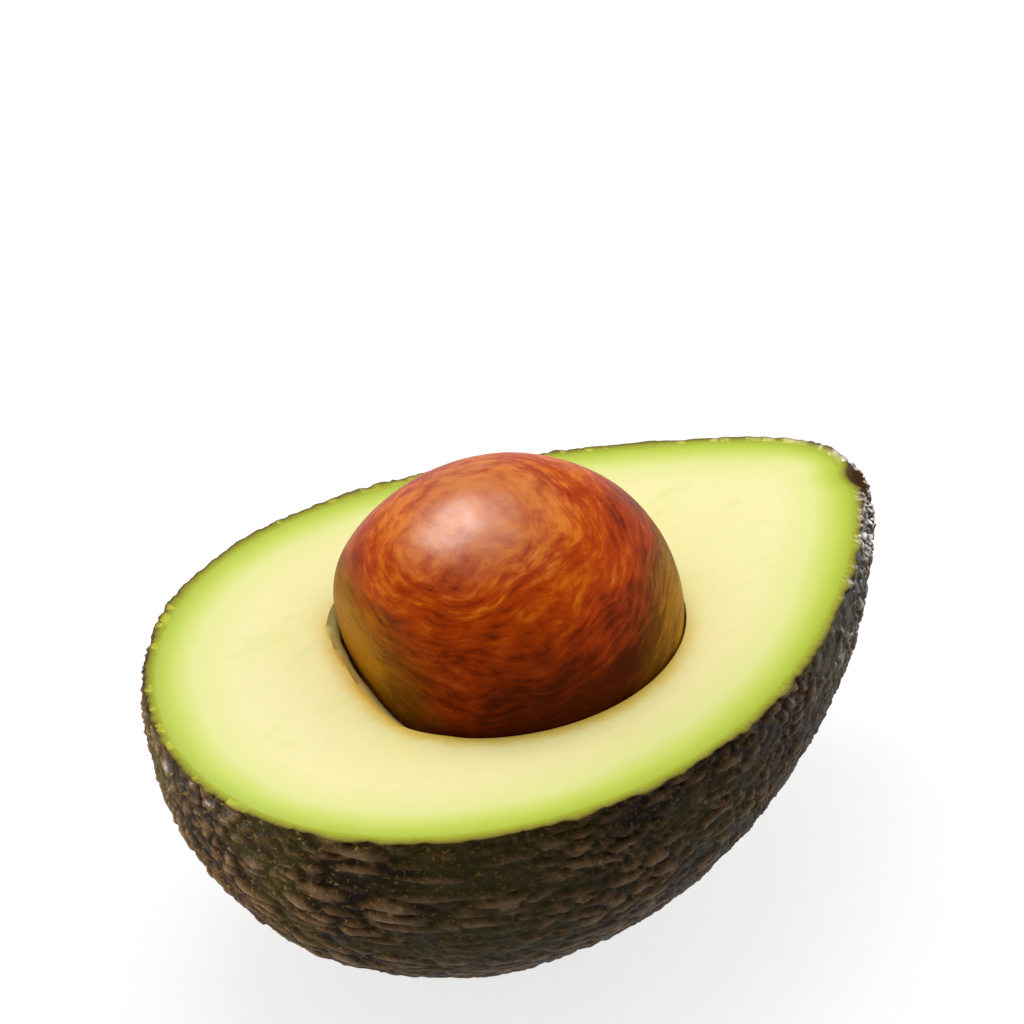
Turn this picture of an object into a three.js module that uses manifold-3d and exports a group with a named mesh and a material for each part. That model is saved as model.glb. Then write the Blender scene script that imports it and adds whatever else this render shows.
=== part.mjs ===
// Half of a Hass-type avocado, cut lengthwise, with the stone still in its socket.
//
// It lies on its rounded back with the cut face level and upwards. The origin is the middle of the
// small flat spot that it rests on. +Z is up and +X runs to the stem end. Millimetres.

import * as THREE from 'three';
import { mergeVertices } from 'three/addons/utils/BufferGeometryUtils.js';
import Module from 'manifold-3d';

// The whole fruit, as rings along its long axis from the stem end to the blossom end.
const FRUIT_LENGTH = 100;
const BELLY_RADIUS = 28.5;
const STEM_TAPER = 0.385;
const END_SQUARENESS = 0.1;

// The fruit's axis, measured from the cut face: how deep it lies, and how it bows sideways.
const AXIS_DEPTH = 4.9;
const AXIS_SLOPE = 0.046;
const SIDE_BOW = 1.2;
const SIDE_SKEW = -2.5;

// The flat spot under the fruit, by its place along the fruit, and the cut face's height above it.
const REST_X = -9.4;
const CUT_HEIGHT = 36.2;

// The peel, and the clearance between pieces that touch.
const PEEL_THICKNESS = 1;
const CLEARANCE = 0.3;

// The shallow scar where the stem sat, as a ball sunk into the stem end.
const SCAR_RADIUS = 4;
const SCAR_CENTRE = new THREE.Vector3(45.4, -7.8, -0.6);

// The stone: an egg, tipped a little, and flatter on the side that faces the blossom end. Its
// socket is flatter there too, but less, which leaves an open sliver beside the stone.
const STONE_RADII = new THREE.Vector3(21.5, 18.4, 19);
const STONE_CENTRE = new THREE.Vector3(-8, 0.8, 0.3);
const STONE_PITCH = THREE.MathUtils.degToRad(11);
const FLAT_SIDE = new THREE.Vector3(-0.99, 0.11, 0).normalize();
const STONE_FLAT_DISTANCE = 18.4;
const SOCKET_FLAT_DISTANCE = 20.1;
const FLAT_SIDE_CROWN = 0.15;

// How finely the round shapes are faceted.
const RINGS = 28;
const AROUND = 40;
const STONE_RINGS = 16;
const STONE_AROUND = 30;

const wasm = await Module();
wasm.setup();

// A closed geometry as a solid that can be joined and cut.
function toSolid(geometry) {
  geometry.deleteAttribute('normal');
  geometry.deleteAttribute('uv');
  const merged = mergeVertices(geometry, 1e-4);
  return new wasm.Manifold(new wasm.Mesh({
    numProp: 3,
    vertProperties: new Float32Array(merged.attributes.position.array),
    triVerts: new Uint32Array(merged.index.array),
  }));
}

// A solid as a geometry again, with flat-shaded normals.
function toGeometry(solid) {
  const mesh = solid.getMesh();
  const geometry = new THREE.BufferGeometry();
  geometry.setAttribute('position', new THREE.BufferAttribute(mesh.vertProperties, 3));
  geometry.setIndex(new THREE.BufferAttribute(mesh.triVerts, 1));
  geometry.computeVertexNormals();
  return geometry;
}

// The fruit's radius at an angle t along it: 0 at the stem end, pi at the blossom end.
function fruitRadius(t) {
  return BELLY_RADIUS * Math.sin(t) * (1 - STEM_TAPER * Math.cos(t) - END_SQUARENESS * Math.cos(2 * t));
}

// How far the fruit's axis has moved sideways at x.
function sideShift(x) {
  const u = x / (FRUIT_LENGTH / 2);
  return (SIDE_BOW + SIDE_SKEW * u) * (1 - u * u);
}

// How far the fruit's axis lies below the cut face at x.
function axisDepth(x) {
  return AXIS_DEPTH + AXIS_SLOPE * x;
}

// The whole fruit, with its surface moved inwards by inset, along its own normal.
function wholeFruit(inset) {
  const profile = [];
  for (let i = 0; i <= RINGS; i += 1) {
    const t = Math.PI * (1 - i / RINGS);
    const along = (FRUIT_LENGTH / 2) * Math.cos(t);
    const step = 1e-3;
    const rise = fruitRadius(t + step) - fruitRadius(t - step);
    const run = (FRUIT_LENGTH / 2) * (Math.cos(t + step) - Math.cos(t - step));
    const normal = new THREE.Vector2(-run, rise).normalize();
    const onAxis = i === 0 || i === RINGS;
    const radius = onAxis ? 0 : fruitRadius(t) - inset * normal.x;
    profile.push(new THREE.Vector2(radius, along - inset * normal.y));
  }
  const geometry = new THREE.LatheGeometry(profile, AROUND);
  geometry.rotateZ(-Math.PI / 2);
  const position = geometry.attributes.position;
  for (let i = 0; i < position.count; i += 1) {
    const x = position.getX(i);
    position.setY(i, position.getY(i) + sideShift(x));
    position.setZ(i, position.getZ(i) - axisDepth(x));
  }
  return toSolid(geometry);
}

// Everything between two heights that are measured from the cut face.
function slab(bottom, top) {
  const geometry = new THREE.BoxGeometry(2 * FRUIT_LENGTH, 2 * FRUIT_LENGTH, top - bottom);
  geometry.translate(0, 0, (top + bottom) / 2);
  return toSolid(geometry);
}

// The half fruit moved inwards by inset: its skin, its flat spot and its stem scar alike.
function halfFruit(inset, top) {
  const scar = new THREE.SphereGeometry(SCAR_RADIUS + inset, 16, 10);
  scar.translate(SCAR_CENTRE.x, SCAR_CENTRE.y, SCAR_CENTRE.z);
  return wholeFruit(inset).intersect(slab(inset - CUT_HEIGHT, top)).subtract(toSolid(scar));
}

// An egg with the stone's radii, grown by margin. Past flatDistance from its middle, on its flat
// side, it only keeps a slight crown.
function egg(margin, flatDistance) {
  const geometry = new THREE.SphereGeometry(1, STONE_AROUND, STONE_RINGS);
  geometry.rotateZ(Math.PI / 2);
  const radii = STONE_RADII.clone().addScalar(margin);
  geometry.scale(radii.x, radii.y, radii.z);
  geometry.rotateY(STONE_PITCH);
  const position = geometry.attributes.position;
  const point = new THREE.Vector3();
  for (let i = 0; i < position.count; i += 1) {
    point.fromBufferAttribute(position, i);
    const beyond = Math.max(0, point.dot(FLAT_SIDE) - flatDistance);
    point.addScaledVector(FLAT_SIDE, beyond * (FLAT_SIDE_CROWN - 1));
    point.add(STONE_CENTRE);
    position.setXYZ(i, point.x, point.y, point.z);
  }
  return toSolid(geometry);
}

// A named mesh, lifted from the cut face's frame into the part's own frame.
function piece(name, solid, material) {
  const mesh = new THREE.Mesh(toGeometry(solid), material);
  mesh.name = name;
  mesh.position.set(-REST_X, -sideShift(REST_X), CUT_HEIGHT);
  return mesh;
}

const ABOVE_CUT = 20;
const peelSolid = halfFruit(0, 0).subtract(halfFruit(PEEL_THICKNESS, ABOVE_CUT));
const fleshSolid = halfFruit(PEEL_THICKNESS + CLEARANCE, 0).subtract(egg(CLEARANCE, SOCKET_FLAT_DISTANCE));
const stoneSolid = egg(0, STONE_FLAT_DISTANCE);

const peelMaterial = new THREE.MeshStandardMaterial({ color: 0x2a2416, roughness: 0.5, metalness: 0 });
const fleshMaterial = new THREE.MeshStandardMaterial({ color: 0xe9e9ad, roughness: 0.4, metalness: 0 });
const stoneMaterial = new THREE.MeshStandardMaterial({ color: 0x8a3a10, roughness: 0.25, metalness: 0 });

const avocadoHalf = new THREE.Group();
avocadoHalf.add(piece('peel', peelSolid, peelMaterial));
avocadoHalf.add(piece('flesh', fleshSolid, fleshMaterial));
avocadoHalf.add(piece('stone', stoneSolid, stoneMaterial));

export default avocadoHalf;
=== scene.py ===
"""A halved avocado with its stone, lying cut face up on a plain studio floor."""

import math

import bmesh
import bpy
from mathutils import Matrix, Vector, kdtree


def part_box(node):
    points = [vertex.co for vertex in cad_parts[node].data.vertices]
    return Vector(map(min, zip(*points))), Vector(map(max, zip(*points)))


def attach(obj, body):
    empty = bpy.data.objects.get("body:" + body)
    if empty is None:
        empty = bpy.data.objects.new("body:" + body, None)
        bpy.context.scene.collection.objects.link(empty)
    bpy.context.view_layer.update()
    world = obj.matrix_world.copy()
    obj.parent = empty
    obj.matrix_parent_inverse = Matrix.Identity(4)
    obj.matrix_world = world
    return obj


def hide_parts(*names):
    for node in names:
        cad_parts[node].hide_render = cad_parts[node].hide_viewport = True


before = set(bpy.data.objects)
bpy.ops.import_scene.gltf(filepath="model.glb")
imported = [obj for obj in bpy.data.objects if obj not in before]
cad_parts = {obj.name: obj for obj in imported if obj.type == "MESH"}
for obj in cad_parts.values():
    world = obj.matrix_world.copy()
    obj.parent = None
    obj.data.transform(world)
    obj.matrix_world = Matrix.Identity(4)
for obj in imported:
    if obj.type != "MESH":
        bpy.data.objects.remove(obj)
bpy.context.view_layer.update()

bl_info = {
    "name": "Avocado Half",
    "version": (1, 0, 0),
    "blender": (4, 5, 0),
    "location": "View3D > Sidebar > Avocado",
    "description": "Models a halved avocado with its stone, its finishes and a plain studio",
    "category": "Object",
}

MM = 0.001

PEEL_LOW, PEEL_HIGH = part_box("peel")
STONE_LOW, STONE_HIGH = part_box("stone")
CUT_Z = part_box("flesh")[1].z
FRUIT_LENGTH = PEEL_HIGH.x - PEEL_LOW.x
FRUIT_MIDDLE = (PEEL_HIGH.x + PEEL_LOW.x) / 2
STONE_MIDDLE = (STONE_LOW + STONE_HIGH) / 2
FLAT_SIDE = tuple(Vector((-0.99, 0.11, 0)).normalized())
DRY_SIDE = tuple(Vector((-0.918, 0.397, 0)).normalized())
SHRUNKEN_SIDE = tuple(Vector((-0.87, 0.376, -0.32)).normalized())
# The grain's axis points to where the light catches the stone; the painted highlight sits around it.
STONE_GRAIN_AXIS = Vector((-0.29, -0.07, 0.95)).normalized()
FLANK_AXIS = Vector((0.697, -0.717, 0))
FRONT = Vector((-0.717, -0.697, 0))
GRAIN_AXIS = Vector((0.94, -0.34, 0)).normalized()

# Where the relief's pattern and the stem's hollow lie, from the axis and from the stem end.
RELIEF_SHIFT = Vector((0.5, 7.3, 0.9)) * MM
SCAR_SHIFT = Vector((-4.6, -10.6, -0.6)) * MM

# The fruit's mesh before its subdivision, and the stone's.
SEGMENTS, RINGS = 84, 30
STONE_SEGMENTS, STONE_RINGS = 96, 64

SOCKET_CLEARANCE = 0.2 * MM
FLAT_ROUNDING = 8 * MM
LIP_STEEPNESS = 0.8
BRIDGE_CUTS = 40
BRIDGE_DROP = 10 * MM
CREASE_ANGLE = math.radians(60)
LIGHT_DISTANCE = 0.8
SENSOR_WIDTH = 36
AIM_RIGHT, AIM_UP = -5.3 * MM, 9.88 * MM


def paint(red, green, blue):
    """A colour given as it looks on a screen, from 0 to 255, as Blender's linear values."""
    shares = [channel / 255 for channel in (red, green, blue)]
    return tuple(s / 12.92 if s <= 0.04045 else ((s + 0.055) / 1.055) ** 2.4 for s in shares)


def length_of(millimetres, name, description):
    """A length property whose default is given in millimetres."""
    return bpy.props.FloatProperty(
        name=name, description=description, default=millimetres * MM, unit="LENGTH", precision=5
    )


def share_of(default, name, description):
    """A plain number without a unit."""
    return bpy.props.FloatProperty(name=name, description=description, default=default, precision=3)


def colour_of(colour, name, description):
    """A colour property."""
    return bpy.props.FloatVectorProperty(
        name=name, description=description, default=colour, size=3, min=0, max=1, subtype="COLOR"
    )


class AvocadoFruit(bpy.types.PropertyGroup):
    """The form of the whole fruit that the half was cut from."""

    belly: length_of(28.5, "Belly Radius", "Radius of the fruit before its taper")
    stem_taper: share_of(0.385, "Stem Taper", "How much narrower the stem end is")
    squareness: share_of(0.1, "End Squareness", "How blunt both ends are")
    axis_depth: length_of(4.9, "Axis Depth", "Depth of the fruit's axis under the cut face")
    axis_slope: share_of(0.046, "Axis Slope", "How fast the axis sinks towards the stem end")
    side_bow: length_of(1.2, "Side Bow", "How far the fruit bows sideways at its middle")
    side_skew: length_of(-2.5, "Side Skew", "How far it leans the other way near its ends")
    scar_radius: length_of(4, "Scar Radius", "Radius of the hollow where the stem sat")


class AvocadoPeel(bpy.types.PropertyGroup):
    """The peel's thickness, relief and colours."""

    thickness: length_of(1, "Thickness", "Thickness of the peel")
    ridge_height: length_of(0.66, "Ridge Height", "Height of the pebbles and the winding ridges")
    grain_height: length_of(0.16, "Grain Height", "Height of the small rounded grains on them")
    swell_height: length_of(0.7, "Swell Height", "Height of the broad unevenness")
    crest: colour_of(paint(98, 73, 41), "Crest", "Colour of the ridges")
    ground: colour_of(paint(60, 41, 18), "Ground", "Colour between the ridges")
    # Painted shade: the near-black laid into the deepest creases of the relief; it is also the colour
    # of the fine dark flecks.
    hollow: colour_of(paint(16, 8, 1), "Hollow", "Colour of the deepest creases")
    green: colour_of(paint(46, 42, 6), "Green", "Olive patches that shine through")
    speck: colour_of(paint(138, 110, 56), "Speck", "Colour of the corky specks")
    scar: colour_of(paint(92, 64, 30), "Scar", "Colour of the dry scar where the stem sat")
    cork: colour_of(paint(146, 144, 50), "Cut Edge", "Colour of the peel's cut edge")


class AvocadoFlesh(bpy.types.PropertyGroup):
    """The flesh's colours from the peel inwards."""

    rim: colour_of(paint(180, 196, 44), "Rim", "Vivid green right inside the peel")
    leaf: colour_of(paint(190, 210, 60), "Leaf Green", "Green a millimetre further in")
    lime: colour_of(paint(211, 223, 100), "Lime", "Paler green")
    pale: colour_of(paint(231, 233, 146), "Pale Green", "Colour where the green fades")
    cream: colour_of(paint(246, 238, 172), "Cream", "Colour of most of the cut face")
    butter: colour_of(paint(250, 235, 158), "Butter", "Warmer colour around the stone")
    # Painted shadow of the stone on the cut face right beside it.
    painted_stone_shadow: colour_of(paint(240, 196, 44), "Contact", "Painted shadow right beside the stone")
    # Painted light: the socket's wall is coloured pale and warm so that it looks lit, though it lies
    # in shade beside the stone.
    socket: colour_of(paint(250, 238, 156), "Socket", "Colour of the socket's wall")
    green_width: length_of(5, "Green Width", "Distance over which the green fades")


class AvocadoStone(bpy.types.PropertyGroup):
    """The stone's shape and colours."""

    length_radius: length_of(21.5, "Length Radius", "Half length before its side is flattened")
    width_radius: length_of(18.4, "Width Radius", "Half of the stone's width")
    height_radius: length_of(19, "Height Radius", "Half of the stone's height")
    pitch: bpy.props.FloatProperty(
        name="Pitch", description="How far the stem side dips", default=math.radians(11),
        subtype="ANGLE",
    )
    flat_distance: length_of(18.4, "Flat Side", "Distance from the middle to the flat side")
    dry_distance: length_of(16.1, "Shrunken Side", "Distance from the middle to the shrunken side")
    socket_flat_distance: length_of(20.1, "Socket's Flat Side", "The flat side of the socket")
    socket_dry_distance: length_of(16.4, "Socket's Dry Side", "The socket's wall at the shrunken side")
    socket_flare: length_of(1.8, "Socket's Lip", "How far the socket opens at its dry side")
    flat_crown: share_of(0.15, "Bulge Kept", "How much of its bulge a flattened side keeps")
    lump_height: length_of(0.4, "Lump Height", "Height of the stone's unevenness")
    # Painted highlight: a paler, more orange patch where the light catches the stone's top.
    painted_highlight: colour_of(paint(226, 140, 62), "Crown", "Painted highlight on top")
    light: colour_of(paint(222, 116, 14), "Light Brown", "Lightest streaks")
    chestnut: colour_of(paint(178, 61, 3), "Chestnut", "Main colour")
    dark: colour_of(paint(112, 32, 1), "Dark Brown", "Darkest streaks")
    # Darker brown towards the flesh: partly the stone's own deeper colour, partly painted shade.
    lower_brown_and_shade: colour_of(paint(58, 18, 0), "Lower Brown", "Colour of the lower part, next to the flesh")
    # Painted reflection of the flesh on the stone's lower flanks, from olive brown at its edge to
    # golden.
    olive: colour_of(paint(120, 74, 3), "Olive Brown", "Where the brown turns to golden")
    flesh_reflection: colour_of(paint(196, 134, 20), "Golden", "Colour of the flanks next to the flesh")


class AvocadoStage(bpy.types.PropertyGroup):
    """The floor, the lights and the camera."""

    floor_size: bpy.props.FloatProperty(
        name="Floor Size", description="Side of the floor", default=12, unit="LENGTH"
    )
    azimuth: bpy.props.FloatProperty(
        name="Azimuth", description="Camera's turn about the fruit", default=math.radians(-45.85),
        subtype="ANGLE",
    )
    elevation: bpy.props.FloatProperty(
        name="Elevation", description="Camera's height as an angle", default=math.radians(34.32),
        subtype="ANGLE",
    )
    distance: length_of(400, "Distance", "Distance from the camera to the fruit's middle")
    lens: bpy.props.FloatProperty(
        name="Lens", description="Focal length in millimetres", default=127.8
    )
    room_light: share_of(0.42, "Room Light", "Brightness of the room above, behind and beside")
    wall_light: share_of(0.74, "Wall Light", "Added brightness of its walls")
    room_shade: share_of(0.44, "Room Shade", "Brightness of the room in front")


# ---------------------------------------------------------------- node graphs


class Wire:
    """A node's output that takes part in Python expressions. Each operator adds a Math node."""

    def __init__(self, graph, socket):
        self.graph = graph
        self.socket = socket

    def __add__(self, other):
        return self.graph.maths("ADD", self, other)

    __radd__ = __add__

    def __sub__(self, other):
        return self.graph.maths("SUBTRACT", self, other)

    def __rsub__(self, other):
        return self.graph.maths("SUBTRACT", other, self)

    def __mul__(self, other):
        return self.graph.maths("MULTIPLY", self, other)

    __rmul__ = __mul__

    def __truediv__(self, other):
        return self.graph.maths("DIVIDE", self, other)

    def __pow__(self, other):
        return self.graph.maths("POWER", self, other)


class Graph:
    """A node tree that is filled by calls. It serves materials and geometry nodes alike."""

    def __init__(self, tree):
        self.tree = tree

    def add(self, kind, settings=None, inputs=None, output=0):
        """Adds a node, sets it up, feeds its inputs, and returns one output as a Wire."""
        node = self.tree.nodes.new(kind)
        for key, value in (settings or {}).items():
            if key == "stops":
                self.set_stops(node.color_ramp, value)
            else:
                setattr(node, key, value)
        for key, value in (inputs or {}).items():
            self.feed(node.inputs[key], value)
        return Wire(self, node.outputs[output])

    def feed(self, socket, value):
        """Links a Wire to a socket, or writes a plain value into it."""
        if isinstance(value, Wire):
            self.tree.links.new(value.socket, socket)
        else:
            socket.default_value = value

    @staticmethod
    def set_stops(ramp, stops):
        """Gives a colour ramp its stops, as pairs of place and colour."""
        while len(ramp.elements) < len(stops):
            ramp.elements.new(1)
        for element, (place, colour) in zip(ramp.elements, stops):
            element.position = place
            element.color = (*colour, 1)

    def maths(self, operation, *values):
        return self.add("ShaderNodeMath", {"operation": operation}, dict(enumerate(values)))

    def vector(self, operation, *values, output=0):
        return self.add(
            "ShaderNodeVectorMath", {"operation": operation}, dict(enumerate(values)), output
        )

    def dot(self, vector, direction):
        """How far a vector reaches along a fixed direction."""
        return self.vector("DOT_PRODUCT", vector, tuple(direction), output="Value")

    def scaled(self, vector, share):
        """A vector made longer or shorter."""
        result = self.vector("SCALE", vector)
        self.feed(result.socket.node.inputs["Scale"], share)
        return result

    def combine(self, x, y, z):
        return self.add("ShaderNodeCombineXYZ", None, {0: x, 1: y, 2: z})

    def split(self, vector):
        """The three parts of a vector."""
        first = self.add("ShaderNodeSeparateXYZ", None, {0: vector})
        outputs = first.socket.node.outputs
        return [Wire(self, outputs[i]) for i in range(3)]

    def ease(self, value, low, high, start=0.0, end=1.0):
        """Goes smoothly from start to end as value goes from low to high."""
        return self.add(
            "ShaderNodeMapRange",
            {"interpolation_type": "SMOOTHSTEP"},
            {"Value": value, "From Min": low, "From Max": high, "To Min": start, "To Max": end},
        )

    def noise(self, vector, scale, detail=2.0, roughness=0.5, output="Fac"):
        """Soft noise, mostly between 0.3 and 0.7."""
        return self.add(
            "ShaderNodeTexNoise",
            None,
            {"Vector": vector, "Scale": scale, "Detail": detail, "Roughness": roughness},
            output,
        )

    def cells(self, vector, scale, feature="F1", output="Distance"):
        """Cells scattered in space."""
        return self.add(
            "ShaderNodeTexVoronoi",
            {"feature": feature},
            {"Vector": vector, "Scale": scale},
            output,
        )

    def warped(self, vector, scale, detail, reach):
        """A vector shaken by noise, by up to about half of reach each way."""
        shake = self.vector("SUBTRACT", self.noise(vector, scale, detail, output="Color"), (0.5,) * 3)
        return self.vector("ADD", vector, self.scaled(shake, reach))

    def stored(self, name):
        """A number that was stored on the mesh."""
        return self.add("ShaderNodeAttribute", {"attribute_name": name}, output="Fac")

    def moved(self, mesh, offset):
        """The mesh with its vertices moved by an offset."""
        return self.add("GeometryNodeSetPosition", None, {"Geometry": mesh, "Offset": offset})

    def ramp(self, value, *stops):
        """A colour picked by a value from stops, pairs of place and colour."""
        return self.add("ShaderNodeValToRGB", {"stops": stops}, {0: value}, "Color")

    def mix(self, share, first, second):
        """One colour laid over another by a share from 0 to 1."""
        colours = [c if isinstance(c, Wire) else (*c, 1) for c in (first, second)]
        return self.add(
            "ShaderNodeMix",
            {"data_type": "RGBA"},
            {0: share, 6: colours[0], 7: colours[1]},
            2,
        )


def new_material(name, **constants):
    """A material with one Principled shader whose constant sockets are set, and its graph."""
    material = bpy.data.materials.new(name)
    material.use_nodes = True
    shader = material.node_tree.nodes["Principled BSDF"]
    for socket, value in constants.items():
        shader.inputs[socket.replace("_", " ")].default_value = value
    return material, Graph(material.node_tree), shader


def finish_material(graph, shader, colour, roughness=None, height=None, bump_distance=0.0):
    """Feeds a shader its varying colour, roughness and bump."""
    graph.feed(shader.inputs["Base Color"], colour)
    if roughness is not None:
        graph.feed(shader.inputs["Roughness"], roughness)
    if height is not None:
        settings = {"Height": height, "Distance": bump_distance}
        bump = graph.add("ShaderNodeBump", None, settings, "Normal")
        graph.feed(shader.inputs["Normal"], bump)


# ---------------------------------------------------------------- modelling helpers


def start_fresh():
    """Leaves edit mode and deselects everything."""
    if bpy.context.object and bpy.context.object.mode != "OBJECT":
        bpy.ops.object.mode_set(mode="OBJECT")
    bpy.ops.object.select_all(action="DESELECT")


def activate(piece):
    """Makes one object the only selected and active one."""
    start_fresh()
    piece.select_set(True)
    bpy.context.view_layer.objects.active = piece


def select_where(piece, test, kind="verts"):
    """In edit mode, selects the vertices or edges that pass a test, and no others."""
    bpy.ops.mesh.select_all(action="DESELECT")
    bpy.ops.mesh.select_mode(type={"verts": "VERT", "edges": "EDGE"}[kind])
    shape = bmesh.from_edit_mesh(piece.data)
    for element in getattr(shape, kind):
        if test(element):
            element.select = True
    shape.select_flush_mode()
    bmesh.update_edit_mesh(piece.data)


def apply_modifier(piece, kind, **settings):
    """Adds a modifier, sets it and applies it."""
    activate(piece)
    modifier = piece.modifiers.new(kind.title(), kind)
    for key, value in settings.items():
        setattr(modifier, key, value)
    bpy.ops.object.modifier_apply(modifier=modifier.name)


def smooth_out(piece, levels):
    """Applies a subdivision surface."""
    apply_modifier(piece, "SUBSURF", levels=levels, render_levels=levels)


def reshape_by_nodes(piece, name, build):
    """Applies a geometry node group that build fills. build gets the graph and the mesh wire."""
    tree = bpy.data.node_groups.new(name, "GeometryNodeTree")
    tree.interface.new_socket("Geometry", in_out="INPUT", socket_type="NodeSocketGeometry")
    tree.interface.new_socket("Geometry", in_out="OUTPUT", socket_type="NodeSocketGeometry")
    graph = Graph(tree)
    mesh = graph.add("NodeGroupInput")
    result = build(graph, mesh)
    exit_node = tree.nodes.new("NodeGroupOutput")
    graph.feed(exit_node.inputs[0], result)
    apply_modifier(piece, "NODES", node_group=tree)


def remember(graph, mesh, name, value):
    """Stores a number on every vertex."""
    return graph.add(
        "GeometryNodeStoreNamedAttribute",
        {"data_type": "FLOAT", "domain": "POINT"},
        {"Geometry": mesh, "Name": name, "Value": value},
    )


def settle(piece, name, material):
    """Names a finished piece, shades it smooth up to its cut edges and gives it its material."""
    activate(piece)
    piece.name = name
    piece.data.name = name
    piece.data.materials.clear()
    piece.data.materials.append(material)
    bpy.ops.object.shade_smooth_by_angle(angle=CREASE_ANGLE)
    return piece


# ---------------------------------------------------------------- the fruit's form


def side_shift(fruit, along):
    """How far the axis lies to the side at a distance along the fruit from its middle."""
    share = along / (FRUIT_LENGTH / 2)
    return (fruit.side_bow + fruit.side_skew * share) * (1 - share * share)


def axis_middle(fruit):
    """The middle of the fruit's axis, which stands over the origin where x is 0."""
    sideways = side_shift(fruit, 0) - side_shift(fruit, -FRUIT_MIDDLE)
    return Vector((FRUIT_MIDDLE, sideways, CUT_Z - fruit.axis_depth))


def scar_centre(fruit):
    """The middle of the ball-shaped hollow at the stem end."""
    return Vector((PEEL_HIGH.x, side_shift(fruit, 0), CUT_Z)) + SCAR_SHIFT


def fruit_form(fruit, inset, levels):
    """The whole fruit as a closed skin, moved inwards by inset. Its mesh poles are top and bottom."""
    start_fresh()
    bpy.ops.mesh.primitive_uv_sphere_add(segments=SEGMENTS, ring_count=RINGS, radius=1)
    piece = bpy.context.object
    smooth_out(piece, levels)

    def build(graph, mesh):
        position = graph.add("GeometryNodeInputPosition")
        share, side, up = graph.split(graph.vector("NORMALIZE", position))
        taper = 1 + fruit.squareness - fruit.stem_taper * share - 2 * fruit.squareness * share * share
        radius = taper * fruit.belly
        form = graph.combine(share * (FRUIT_LENGTH / 2), side * radius, up * radius)
        mesh = graph.add("GeometryNodeSetPosition", None, {"Geometry": mesh, "Position": form})
        mesh = graph.moved(mesh, graph.scaled(graph.add("GeometryNodeInputNormal"), -inset))
        along = graph.split(position)[0]
        sideways = side_shift(fruit, along) - side_shift(fruit, -FRUIT_MIDDLE)
        depth = fruit.axis_depth + fruit.axis_slope * along
        return graph.moved(mesh, graph.combine(FRUIT_MIDDLE, sideways, CUT_Z - depth))

    reshape_by_nodes(piece, "Fruit Form", build)
    return piece


def keep_below(piece, height):
    """Cuts a piece level and keeps what is below."""
    activate(piece)
    bpy.ops.object.mode_set(mode="EDIT")
    bpy.ops.mesh.select_all(action="SELECT")
    bpy.ops.mesh.bisect(
        plane_co=(0, 0, height), plane_no=(0, 0, 1), clear_outer=True, threshold=1e-7
    )
    bpy.ops.object.mode_set(mode="OBJECT")


def sink_scar(graph, mesh, centre, radius):
    """Pushes a skin out of the ball where the stem sat, with a soft shoulder."""
    position = graph.add("GeometryNodeInputPosition")
    offset = graph.vector("SUBTRACT", position, tuple(centre))
    distance = graph.vector("LENGTH", offset, output="Value")
    kept = graph.maths("SMOOTH_MAX", distance, radius, 0.6 * MM)
    kept = graph.maths("MAXIMUM", kept, distance)
    return graph.moved(mesh, graph.scaled(offset, kept / distance - 1))


def stand_on_floor(graph, mesh, level):
    """Flattens what would reach below a level."""
    x, y, z = graph.split(graph.add("GeometryNodeInputPosition"))
    flat = graph.combine(x, y, graph.maths("MAXIMUM", z, level))
    return graph.add("GeometryNodeSetPosition", None, {"Geometry": mesh, "Position": flat})


def form_inner_skin(fruit, inset, levels):
    """A smooth skin inside the peel, cut level, with the scar's and the floor's hollows."""
    piece = fruit_form(fruit, inset, levels)

    def build(graph, mesh):
        mesh = sink_scar(graph, mesh, scar_centre(fruit), fruit.scar_radius + inset)
        return stand_on_floor(graph, mesh, inset)

    reshape_by_nodes(piece, "Inner Skin", build)
    keep_below(piece, CUT_Z)
    return piece


# ---------------------------------------------------------------- peel


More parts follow.
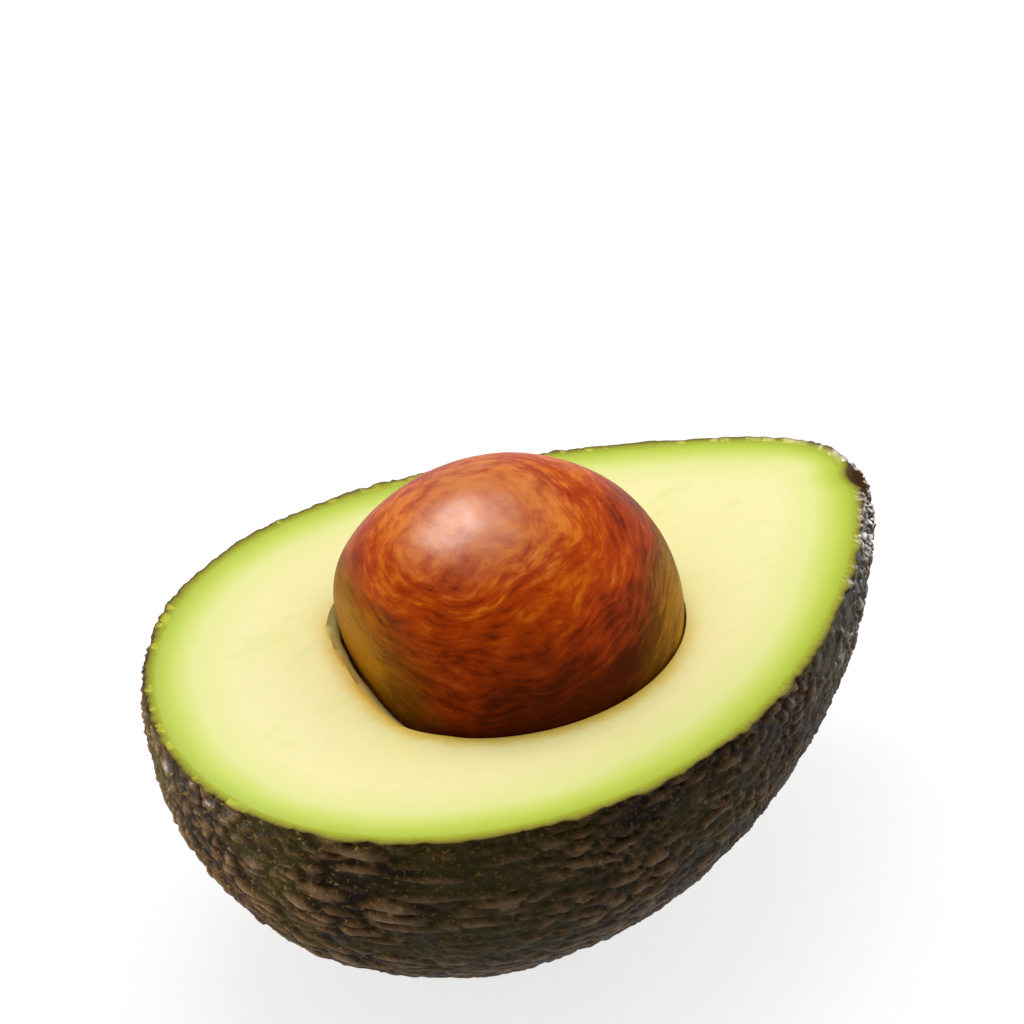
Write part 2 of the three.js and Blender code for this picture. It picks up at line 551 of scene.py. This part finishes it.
def raise_relief(fruit, look):
    """Returns the node builder that gives the peel its pebbles, ridges, grains and swells."""

    def build(graph, mesh):
        position = graph.add("GeometryNodeInputPosition")
        normal = graph.add("GeometryNodeInputNormal")
        centre = axis_middle(fruit) + RELIEF_SHIFT
        offset = graph.vector("SUBTRACT", position, tuple(centre))
        offset = graph.vector("DIVIDE", offset, (MM, MM, MM))
        along = graph.dot(offset, GRAIN_AXIS)
        across = graph.dot(offset, GRAIN_AXIS.cross(Vector((0, 0, -1))))
        up = graph.split(offset)[2]
        radius = graph.maths("SQRT", across * across + up * up + 0.01)

        # Around the fruit the pattern crowds together towards both ends.
        travel = graph.maths("ARCTAN2", radius * 1.5, along) * 46
        ends = graph.ease(graph.maths("ABSOLUTE", along), 12, 36)
        near_cut = graph.ease(up, -20, -5)
        strength = 0.4 + 0.6 * graph.maths("MAXIMUM", ends, near_cut)

        def grained(stretch, warp_size, seed, crowding):
            crowd = (radius / 33) ** -crowding
            place = graph.combine(travel * stretch + seed, across * crowd, up * crowd)
            return graph.warped(place, 0.22, 2, warp_size)

        def domes(place, scale, width):
            edge = graph.cells(place, scale, "DISTANCE_TO_EDGE") / width
            crack = 1 - graph.maths("MINIMUM", edge, 1)
            return 1 - crack * crack

        short = grained(0.45, 4, 60, 0.35)
        long = grained(0.2, 2.5, 0, 0.45)
        pebbles = domes(short, 0.66, 0.36) * graph.ease(graph.noise(short, 0.3, 1), 0.35, 0.6, 0.35, 1)
        ridges = domes(long, 0.6, 0.4) * graph.ease(graph.noise(long, 0.3, 1), 0.35, 0.6, 0.5, 1)
        relief = pebbles * (1 - ends) + ridges * ends
        grains = domes(grained(0.6, 2, 30, 0.35), 1.5, 0.4) * (1 - 0.6 * ends)
        swells = graph.noise(position, 95, 1.5) - 0.5
        fine = graph.noise(graph.combine(travel * 0.7, across, up), 1.3, 2) - 0.5

        height = relief * strength * (look.ridge_height / MM) + grains * (look.grain_height / MM)
        height = height + swells * (look.swell_height / MM) + fine * 0.2
        level = (look.ridge_height + look.grain_height) / MM * graph.ease(up, -3, 2, 0.55, 0.2)
        # Near the cut the relief only goes sideways, so that the cut edge stays one loop.
        steep = graph.ease(up, 0.5, 3, 1, 0)
        outward = graph.vector("MULTIPLY", normal, graph.combine(1, 1, steep))
        for name, value in (("ridges", relief), ("ends", ends), ("grains", grains)):
            mesh = remember(graph, mesh, name, value)
        mesh = graph.moved(mesh, graph.scaled(outward, (height - level) * MM))
        mesh = sink_scar(graph, mesh, scar_centre(fruit), fruit.scar_radius)
        return stand_on_floor(graph, mesh, 0)

    return build


def model_peel(fruit, look):
    """The pebbled skin, its cut edge and its inner wall as one closed shell."""
    outer = fruit_form(fruit, 0, 3)
    reshape_by_nodes(outer, "Skin Relief", raise_relief(fruit, look))
    keep_below(outer, CUT_Z)
    inner = form_inner_skin(fruit, look.thickness, 1)
    depth = inner.data.attributes.new("cut_depth", "FLOAT", "POINT")
    depth.data.foreach_set("value", [1.0] * len(inner.data.vertices))
    activate(outer)
    inner.select_set(True)
    bpy.ops.object.join()
    bpy.ops.object.mode_set(mode="EDIT")
    select_where(outer, lambda edge: edge.is_boundary, "edges")
    bpy.ops.mesh.fill(use_beauty=True)
    bpy.ops.mesh.select_all(action="SELECT")
    bpy.ops.mesh.normals_make_consistent(inside=False)
    bpy.ops.object.mode_set(mode="OBJECT")
    return outer


def peel_material(look, scar, scar_radius):
    """Dark pebbled skin with olive hollows, corky specks and a tan and green cut edge."""
    material, graph, shader = new_material(
        "Pebbled Peel", Specular_IOR_Level=0.04, Coat_Roughness=0.4
    )
    place = graph.add("ShaderNodeTexCoord", output="Object")
    z = graph.split(place)[2]
    ends = graph.stored("ends")
    fine = graph.noise(place, 1500, 3, 0.6)
    height = graph.stored("ridges") * 0.7 + graph.stored("grains") * 0.3
    # Painted shade: down in the creases the colour darkens to near-black, as if they lay in shade.
    colour = graph.mix(graph.ease(height, 0.15, 0.6), look.hollow, look.ground)
    colour = graph.mix(graph.ease(height, 0.5, 1.0) * 0.8, colour, look.crest)
    patches = graph.noise(place, 60, 3)
    near_cut = graph.ease(z, CUT_Z - 16 * MM, CUT_Z)
    greenness = graph.ease(patches + near_cut * 0.1, 0.5, 0.66) * (1 - graph.ease(height, 0.3, 0.7))
    colour = graph.mix(greenness * 0.5, colour, look.green)

    shake = graph.scaled(graph.noise(place, 900, 2, output="Color"), 0.8 * MM)
    loose = graph.vector("ADD", place, shake)
    spots = graph.cells(loose, 1000)
    pick = graph.split(graph.cells(loose, 1000, output="Color"))[0]
    chosen = graph.ease(pick, 0.76, 0.86) * graph.ease(graph.noise(place, 150, 2), 0.42, 0.6)
    dust = graph.ease(graph.noise(loose, 1700, 3, 0.6), 0.56, 0.7) * 0.6
    specks = graph.maths("MAXIMUM", (1 - graph.ease(spots, 0.1, 0.3)) * chosen, dust)
    colour = graph.mix(specks * 0.4, colour, look.speck)
    colour = graph.mix(graph.ease(fine, 0.4, 0.75) * 0.3, colour, look.hollow)
    scar_distance = graph.vector("DISTANCE", place, tuple(scar), output="Value")
    ragged = scar_distance + (fine - 0.5) * MM
    on_scar = 1 - graph.ease(ragged, scar_radius + 0.2 * MM, scar_radius + 1 * MM)
    colour = graph.mix(on_scar, colour, graph.mix(fine, look.scar, look.ground))

    on_cut = graph.ease(z, CUT_Z - 0.03 * MM, CUT_Z - 0.01 * MM)
    edge = graph.ramp(
        graph.stored("cut_depth"),
        (0, look.ground),
        (0.12, paint(112, 98, 30)),
        (0.4, look.cork),
        (1, paint(176, 190, 46)),
    )
    colour = graph.mix(on_cut, colour, edge)
    dull = graph.maths("MAXIMUM", on_cut, on_scar)
    shine = graph.ease(height, 0.35, 0.9) * (0.12 + 0.34 * ends)
    graph.feed(shader.inputs["Coat Weight"], shine * (1 - dull))
    roughness = 0.36 + 0.22 * fine
    finish_material(graph, shader, colour, roughness, fine * 0.7 + specks * 0.4, 0.15 * MM)
    return material


class AVOCADO_OT_peel(bpy.types.Operator):
    """Model the dark pebbled peel"""

    bl_idname = "avocado.peel"
    bl_label = "Peel"

    def execute(self, context):
        fruit, look = context.scene.avocado_fruit, context.scene.avocado_peel
        material = peel_material(look, scar_centre(fruit), fruit.scar_radius)
        piece = settle(model_peel(fruit, look), "pebbled_peel", material)
        bpy.data.collections["Lit From The Sides"].objects.link(piece)
        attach(piece, "root")
        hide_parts("peel")
        return {"FINISHED"}


# ---------------------------------------------------------------- the stone's form


def egg_form(stone, margin, flats, segments, rings, levels, lumps=0.0, flare=0.0):
    """The stone's egg, grown by margin, pitched, and flattened on the side of the blossom end.

    flats pairs the way each flattened side faces with its distance from the middle, lumps is
    how uneven the egg is, and flare is how far it opens at the cut face on its dry side.
    """
    start_fresh()
    size = Vector((stone.length_radius, stone.width_radius, stone.height_radius))
    reach = math.hypot(size.x * math.cos(stone.pitch), size.z * math.sin(stone.pitch))
    centre = Vector((STONE_HIGH.x - reach, STONE_MIDDLE.y, STONE_MIDDLE.z))
    bpy.ops.mesh.primitive_uv_sphere_add(segments=segments, ring_count=rings, radius=1)
    piece = bpy.context.object
    piece.scale = size + Vector((margin, margin, margin))
    piece.rotation_euler = (0, stone.pitch, 0)
    piece.location = centre
    bpy.ops.object.transform_apply(location=True, rotation=True, scale=True)
    smooth_out(piece, levels)

    def build(graph, mesh):
        position = graph.add("GeometryNodeInputPosition")
        normal = graph.add("GeometryNodeInputNormal")
        from_centre = graph.vector("SUBTRACT", position, tuple(centre))
        for side, flat_distance in flats:
            past_flat = graph.dot(from_centre, side) - flat_distance
            beyond = graph.maths("SMOOTH_MAX", past_flat, 0, FLAT_ROUNDING)
            mesh = graph.moved(mesh, graph.scaled(side, beyond * (stone.flat_crown - 1)))
        if flare:
            rise = (graph.split(position)[2] - CUT_Z) / (flare * LIP_STEEPNESS) + 1
            rise = graph.maths("MINIMUM", graph.maths("MAXIMUM", rise, 0), 1)
            opened = rise * graph.ease(graph.dot(from_centre, DRY_SIDE), 12 * MM, 16.5 * MM)
            mesh = graph.moved(mesh, graph.scaled(FLAT_SIDE, opened * flare))
        if lumps:
            swell = graph.noise(position, 60, 1) - 0.5 + (graph.noise(position, 190, 2) - 0.5) * 0.3
            mesh = graph.moved(mesh, graph.scaled(normal, (swell - 0.2) * lumps))
        return mesh

    reshape_by_nodes(piece, "Egg Form", build)
    return piece


# ---------------------------------------------------------------- flesh


def edge_tree(piece):
    """A search tree of the vertices on a piece's level edge."""
    tree = kdtree.KDTree(len(piece.data.vertices))
    for index, vertex in enumerate(piece.data.vertices):
        if vertex.co.z > CUT_Z - 0.001 * MM:
            tree.insert(vertex.co, index)
    tree.balance()
    return tree


def model_flesh(fruit, peel, stone):
    """The cut face with the socket in it, closed underneath by the bowl that meets the peel."""
    bowl = form_inner_skin(fruit, peel.thickness, 1)
    rim = edge_tree(bowl)
    flats = [(FLAT_SIDE, stone.socket_flat_distance), (DRY_SIDE, stone.socket_dry_distance)]
    # The socket's edge has about as many vertices as the bowl's rim, so that a bridge can pair them.
    socket = egg_form(
        stone, SOCKET_CLEARANCE, flats, SEGMENTS, SEGMENTS // 2, 1, flare=stone.socket_flare
    )
    keep_below(socket, CUT_Z)
    lip = edge_tree(socket)

    # Two loops at one height could be bridged the wrong way round, so the socket is lowered first.
    socket.location.z -= BRIDGE_DROP
    first_socket = len(bowl.data.vertices)
    first_bridge = first_socket + len(socket.data.vertices)
    activate(bowl)
    socket.select_set(True)
    bpy.ops.object.join()
    bpy.ops.object.mode_set(mode="EDIT")
    select_where(bowl, lambda edge: edge.is_boundary, "edges")
    bpy.ops.mesh.bridge_edge_loops(number_cuts=BRIDGE_CUTS, interpolation="LINEAR")
    # Leaving edit mode and coming back numbers the new vertices.
    bpy.ops.object.mode_set(mode="OBJECT")
    bpy.ops.object.mode_set(mode="EDIT")
    select_where(bowl, lambda vertex: vertex.index >= first_bridge)
    bpy.ops.transform.resize(value=(1, 1, 0), center_override=(0, 0, CUT_Z))
    select_where(bowl, lambda vertex: first_socket <= vertex.index < first_bridge)
    bpy.ops.transform.translate(value=(0, 0, BRIDGE_DROP))
    bpy.ops.mesh.select_all(action="SELECT")
    bpy.ops.mesh.normals_make_consistent(inside=False)
    bpy.ops.object.mode_set(mode="OBJECT")
    vertices = bowl.data.vertices
    for name, tree in (("rim_distance", rim), ("stone_distance", lip)):
        distances = [tree.find(vertex.co)[2] / MM for vertex in vertices]
        attribute = bowl.data.attributes.new(name, "FLOAT", "POINT")
        attribute.data.foreach_set("value", distances)
    return bowl


def flesh_material(look):
    """Moist flesh: green under the peel, fading to cream and to butter yellow at the stone, with a
    painted shadow beside the stone and painted light on the socket's wall.
    """
    material, graph, shader = new_material(
        "Ripe Flesh", Roughness=0.38, Subsurface_Weight=0.25, Subsurface_Scale=0.003,
        Specular_IOR_Level=0.35,
    )
    shader.inputs["Subsurface Radius"].default_value = (1.0, 0.8, 0.25)
    place = graph.add("ShaderNodeTexCoord", output="Object")
    height = graph.split(place)[2]
    rim = graph.stored("rim_distance")
    stone = graph.stored("stone_distance")

    cloud = graph.noise(place, 70, 3) - 0.5
    flecks = graph.noise(place, 600, 3, 0.6) - 0.5
    depth = (rim * (1 + cloud * 0.5) + flecks * 0.4) / (look.green_width / MM)
    band = graph.ramp(
        depth / 2,
        (0, look.rim),
        (0.1, look.leaf),
        (0.24, look.lime),
        (0.42, look.pale),
        (0.85, look.cream),
    )
    warmth = (1 - graph.ease(stone, 0, 9)) * 0.6 + graph.ease(cloud, 0.02, 0.2) * 0.25
    colour = graph.mix(warmth * graph.ease(rim, 4, 9), band, look.butter)
    streaks = graph.noise(graph.vector("MULTIPLY", place, (0.35, 1.0, 0.3)), 420, 3, 0.65)
    streaked = graph.ease(streaks, 0.52, 0.68) * graph.ease(rim, 4, 9) * 0.5
    colour = graph.mix(streaked, colour, look.pale)
    mottled = graph.ease(graph.noise(place, 230, 3, 0.6), 0.52, 0.7)
    colour = graph.mix(mottled * (1 - graph.ease(stone, 1, 12)) * 0.4, colour, look.butter)
    # Painted shadow of the stone: a thin darker, browner band right beside it, strongest on the front
    # side, where the stone shades the cut face.
    outward = graph.vector("NORMALIZE", graph.vector("SUBTRACT", place, tuple(STONE_MIDDLE)))
    facing = graph.dot(outward, FRONT)
    painted_stone_shadow = (1 - graph.ease(stone + flecks * 1.5, 0, 2.2)) * graph.ease(facing, -0.4, 0.6, 0.2, 0.8)
    colour = graph.mix(painted_stone_shadow, colour, look.painted_stone_shadow)
    # Painted light: below the cut face the socket's wall takes the pale, warm socket colour, so that
    # it looks lit inside its shade.
    below = 1 - graph.ease(height, CUT_Z - 0.8 * MM, CUT_Z - 0.1 * MM)
    colour = graph.mix(below, colour, look.socket)
    fibres = graph.noise(graph.vector("MULTIPLY", place, (1, 1, 0.2)), 900, 2)
    finish_material(graph, shader, colour, 0.34 + 0.1 * fibres, flecks + fibres * 0.4, 0.02 * MM)
    return material


class AVOCADO_OT_flesh(bpy.types.Operator):
    """Model the flesh with its cut face and socket"""

    bl_idname = "avocado.flesh"
    bl_label = "Flesh"

    def execute(self, context):
        scene = context.scene
        look = scene.avocado_flesh
        shape = model_flesh(scene.avocado_fruit, scene.avocado_peel, scene.avocado_stone)
        piece = settle(shape, "ripe_flesh", flesh_material(look))
        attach(piece, "root")
        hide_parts("flesh")
        return {"FINISHED"}


# ---------------------------------------------------------------- stone


def stone_material(look):
    """Glossy chestnut seed coat with streaks in rings, painted light and shade, a painted highlight
    and painted flesh reflections.
    """
    material, graph, shader = new_material(
        "Seed Coat", Specular_IOR_Level=0.03, Coat_Roughness=0.34, Coat_IOR=1.5
    )
    place = graph.add("ShaderNodeTexCoord", output="Object")
    height = graph.split(place)[2]
    straight = graph.vector("SUBTRACT", place, tuple(STONE_MIDDLE))
    centred = graph.vector("SUBTRACT", graph.warped(place, 55, 2, 9 * MM), tuple(STONE_MIDDLE))

    # Around the grain's axis the pattern is stretched, so that it runs in rings.
    side = STONE_GRAIN_AXIS.cross(Vector((0, 1, 0))).normalized()
    ringed = graph.combine(
        graph.dot(centred, side),
        graph.dot(centred, STONE_GRAIN_AXIS.cross(side)),
        graph.dot(centred, STONE_GRAIN_AXIS) * 5,
    )
    broad = graph.noise(graph.vector("MULTIPLY", ringed, (1, 1, 0.6)), 110, 3, 0.6)
    narrow = graph.noise(graph.vector("ADD", ringed, (0.2, 0.1, 0.3)), 300, 3, 0.65)
    mottle = graph.noise(place, 520, 4, 0.65)
    blotch = graph.noise(place, 95, 3, 0.6)
    outward = graph.vector("NORMALIZE", straight)
    upward = graph.split(outward)[2]
    near_axis = graph.dot(outward, STONE_GRAIN_AXIS)
    eye = graph.ease(near_axis, 0.88, 0.99)
    tone = broad * 0.3 + narrow * 0.4 + blotch * 0.12 + mottle * 0.18 - 0.5
    # Painted light and shade: the top is made lighter and the lower part darker, as light falls from
    # above.
    tone = tone * (1 - 0.35 * eye) + 0.5 + graph.ease(upward, 0.15, 0.95, -0.06, 0.04)

    # Painted shade: darker towards the right flank, which lies away from the light.
    tone = tone - graph.ease(graph.dot(outward, FLANK_AXIS), 0.1, 0.9, 0, 0.07)
    colour = graph.mix(graph.ease(tone, 0.35, 0.5), look.dark, look.chestnut)
    colour = graph.mix(graph.ease(tone, 0.48, 0.64), colour, look.light)
    # Painted highlight: around the grain's axis, where the light catches the stone, the colour turns
    # paler and more orange.
    highlight_spot = graph.ease(near_axis + (narrow - 0.5) * 0.4, 0.82, 1.02)
    colour = graph.mix(highlight_spot * 0.45, colour, look.painted_highlight)
    # Darker towards the flesh: partly the stone's own deeper brown, partly painted shade on its lower
    # part.
    lower_brown_and_shade = 1 - graph.ease(height + (blotch - 0.5) * 0.016, CUT_Z - 1 * MM, CUT_Z + 15 * MM)
    colour = graph.mix(lower_brown_and_shade * 0.88, colour, look.lower_brown_and_shade)
    # Painted reflection: low on the two flanks beside the flesh the stone turns olive, then golden,
    # where the flesh would be reflected.
    level_place = graph.vector("NORMALIZE", graph.vector("MULTIPLY", centred, (1, 1, 0)))
    streaky = (narrow - 0.5) * 0.25 + (broad - 0.5) * 0.25
    reflection_foot = 1 - graph.ease(height + (broad - 0.5) * 0.016, CUT_Z + 3 * MM, CUT_Z + 13 * MM)
    for flank, low, high in ((DRY_SIDE, 0.6, 0.9), (FLANK_AXIS, 0.68, 0.98)):
        toward = graph.dot(level_place, flank) + streaky
        colour = graph.mix(graph.ease(toward, low, high) * reflection_foot * 0.75, colour, look.olive)
        colour = graph.mix(graph.ease(toward, high - 0.08, 1.04) * reflection_foot * 0.75, colour, look.flesh_reflection)
    wear = graph.noise(ringed, 300, 2, 0.7)
    shine = graph.ease(upward, 0.1, 0.6) * 0.04 + graph.ease(near_axis, 0.82, 0.98) * 0.85
    graph.feed(shader.inputs["Coat Weight"], shine * graph.ease(wear, 0.3, 0.7, 0.6, 1.0))
    roughness = 0.32 + 0.12 * mottle
    finish_material(graph, shader, colour, roughness, narrow * 0.5 + mottle * 0.5, 0.16 * MM)
    return material


class AVOCADO_OT_stone(bpy.types.Operator):
    """Model the glossy brown stone"""

    bl_idname = "avocado.stone"
    bl_label = "Stone"

    def execute(self, context):
        look = context.scene.avocado_stone
        flats = [(FLAT_SIDE, look.flat_distance), (SHRUNKEN_SIDE, look.dry_distance)]
        shape = egg_form(look, 0, flats, STONE_SEGMENTS, STONE_RINGS, 1, lumps=look.lump_height)
        piece = settle(shape, "brown_stone", stone_material(look))
        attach(piece, "root")
        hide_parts("stone")
        return {"FINISHED"}


# ---------------------------------------------------------------- stage


def floor_material():
    """A plain, nearly white floor that glows faintly, so that shadows on it stay pale."""
    material, graph, shader = new_material("Pale Floor", Roughness=0.8, Emission_Strength=0.76)
    shader.inputs["Emission Color"].default_value = (1, 1, 1, 1)
    place = graph.add("ShaderNodeTexCoord", output="Object")
    tint = graph.noise(place, 3, 2)
    colour = graph.mix(tint, paint(138, 138, 138), paint(142, 142, 142))
    finish_material(graph, shader, colour)
    return material


def studio_world(stage, front):
    """A soft white room, dim in front. Reflections see only its bright walls, not its ceiling."""
    world = bpy.data.worlds.new("Soft White")
    world.use_nodes = True
    graph = Graph(world.node_tree)
    direction = graph.add("ShaderNodeTexCoord", output="Generated")
    behind = 1 - graph.ease(graph.dot(direction, front), -0.1, 0.55)
    low = graph.split(direction)[2]
    glossy = graph.add("ShaderNodeLightPath", output="Is Glossy Ray")
    seen = graph.add("ShaderNodeLightPath", output="Is Camera Ray")
    lit_walls = 1 - graph.ease(low, 0.15, 0.7)
    reflected_walls = 0.5 - graph.ease(low, 0.05, 0.3, 0, 0.5)
    walls = lit_walls * (1 - glossy) + reflected_walls * glossy
    ceiling = stage.room_light * (1 - 0.9 * glossy)
    shade = stage.room_shade * (1 - 0.92 * glossy)
    glow = shade + behind * (ceiling + walls * stage.wall_light)
    strength = graph.maths("MAXIMUM", glow, seen)
    graph.feed(world.node_tree.nodes["Background"].inputs["Strength"], strength)
    world.node_tree.nodes["Background"].inputs["Color"].default_value = (1, 1, 1, 1)
    return world


def place_light(name, target, direction, size, power):
    """A square soft light that looks at the target from a direction."""
    toward = Vector(direction).normalized()
    bpy.ops.object.light_add(type="AREA", location=target + toward * LIGHT_DISTANCE)
    light = bpy.context.object
    light.name = name
    light.data.size = size
    light.data.energy = power
    light.rotation_euler = toward.to_track_quat("Z", "Y").to_euler()
    return light


class AVOCADO_OT_stage(bpy.types.Operator):
    """Set up the floor, the soft lights and the camera"""

    bl_idname = "avocado.stage"
    bl_label = "Stage"

    def execute(self, context):
        scene = context.scene
        stage = scene.avocado_stage
        start_fresh()
        bpy.ops.mesh.primitive_plane_add(size=stage.floor_size)
        floor = bpy.context.object
        floor.name = "pale_floor"
        floor.data.materials.append(floor_material())

        middle = Vector((FRUIT_MIDDLE, 0, CUT_Z))
        place_light("Key Light", middle, (0.15, 0.25, 0.95), 0.5, 2.4)
        gloss = place_light("Gloss Light", middle, (0.06, 0.50, 0.865), 0.36, 6)
        gloss.visible_diffuse = False
        peel_only = bpy.data.collections.new("Lit From The Sides")
        for name, direction, power in (
            ("Left Light", (-0.80, 0.58, -0.05), 44),
            ("Right Light", (0.93, 0.25, -0.05), 34),
        ):
            light = place_light(name, middle, direction, 0.5, power)
            light.data.shape = "RECTANGLE"
            light.data.size_y = 0.1
            light.light_linking.receiver_collection = peel_only

        azimuth, elevation = stage.azimuth, stage.elevation
        back = Vector((
            math.sin(azimuth) * math.cos(elevation),
            -math.cos(azimuth) * math.cos(elevation),
            math.sin(elevation),
        ))
        right = Vector((math.cos(azimuth), math.sin(azimuth), 0))
        upward = back.cross(right)
        pivot = Vector((FRUIT_MIDDLE, -side_shift(scene.avocado_fruit, -FRUIT_MIDDLE), CUT_Z))
        target = pivot + right * AIM_RIGHT + upward * AIM_UP
        bpy.ops.object.camera_add(location=pivot + back * stage.distance)
        camera = bpy.context.object
        camera.name = "Camera"
        camera.data.lens = stage.lens
        camera.data.sensor_width = SENSOR_WIDTH
        camera.data.clip_start = 0.01
        camera.rotation_euler = (camera.location - target).to_track_quat("Z", "Y").to_euler()
        scene.camera = camera

        front = Vector((back.x, back.y, 0)).normalized()
        scene.world = studio_world(stage, front)
        scene.view_settings.view_transform = "Standard"
        return {"FINISHED"}


# ---------------------------------------------------------------- add-on


class AVOCADO_PT_panel(bpy.types.Panel):
    """The avocado's sizes, colours and steps"""

    bl_label = "Avocado Half"
    bl_idname = "AVOCADO_PT_panel"
    bl_space_type = "VIEW_3D"
    bl_region_type = "UI"
    bl_category = "Avocado"

    def draw(self, context):
        for group, steps in STEPS.items():
            settings = getattr(context.scene, group)
            box = self.layout.box()
            for key in settings.bl_rna.properties.keys():
                if key not in ("rna_type", "name"):
                    box.prop(settings, key)
            for step in steps:
                box.operator(step.bl_idname)


GROUPS = {
    "avocado_fruit": AvocadoFruit,
    "avocado_peel": AvocadoPeel,
    "avocado_flesh": AvocadoFlesh,
    "avocado_stone": AvocadoStone,
    "avocado_stage": AvocadoStage,
}
STEPS = {
    "avocado_fruit": [],
    "avocado_peel": [AVOCADO_OT_peel],
    "avocado_flesh": [AVOCADO_OT_flesh],
    "avocado_stone": [AVOCADO_OT_stone],
    "avocado_stage": [AVOCADO_OT_stage],
}
OPERATORS = [AVOCADO_OT_peel, AVOCADO_OT_flesh, AVOCADO_OT_stone, AVOCADO_OT_stage]


def register():
    for name, group in GROUPS.items():
        bpy.utils.register_class(group)
        setattr(bpy.types.Scene, name, bpy.props.PointerProperty(type=group))
    for operator in OPERATORS:
        bpy.utils.register_class(operator)
    bpy.utils.register_class(AVOCADO_PT_panel)


def unregister():
    bpy.utils.unregister_class(AVOCADO_PT_panel)
    for operator in reversed(OPERATORS):
        bpy.utils.unregister_class(operator)
    for name, group in reversed(GROUPS.items()):
        delattr(bpy.types.Scene, name)
        bpy.utils.unregister_class(group)


def main():
    register()
    bpy.ops.avocado.stage()
    bpy.ops.avocado.peel()
    bpy.ops.avocado.flesh()
    bpy.ops.avocado.stone()


if __name__ == "__main__":
    main()
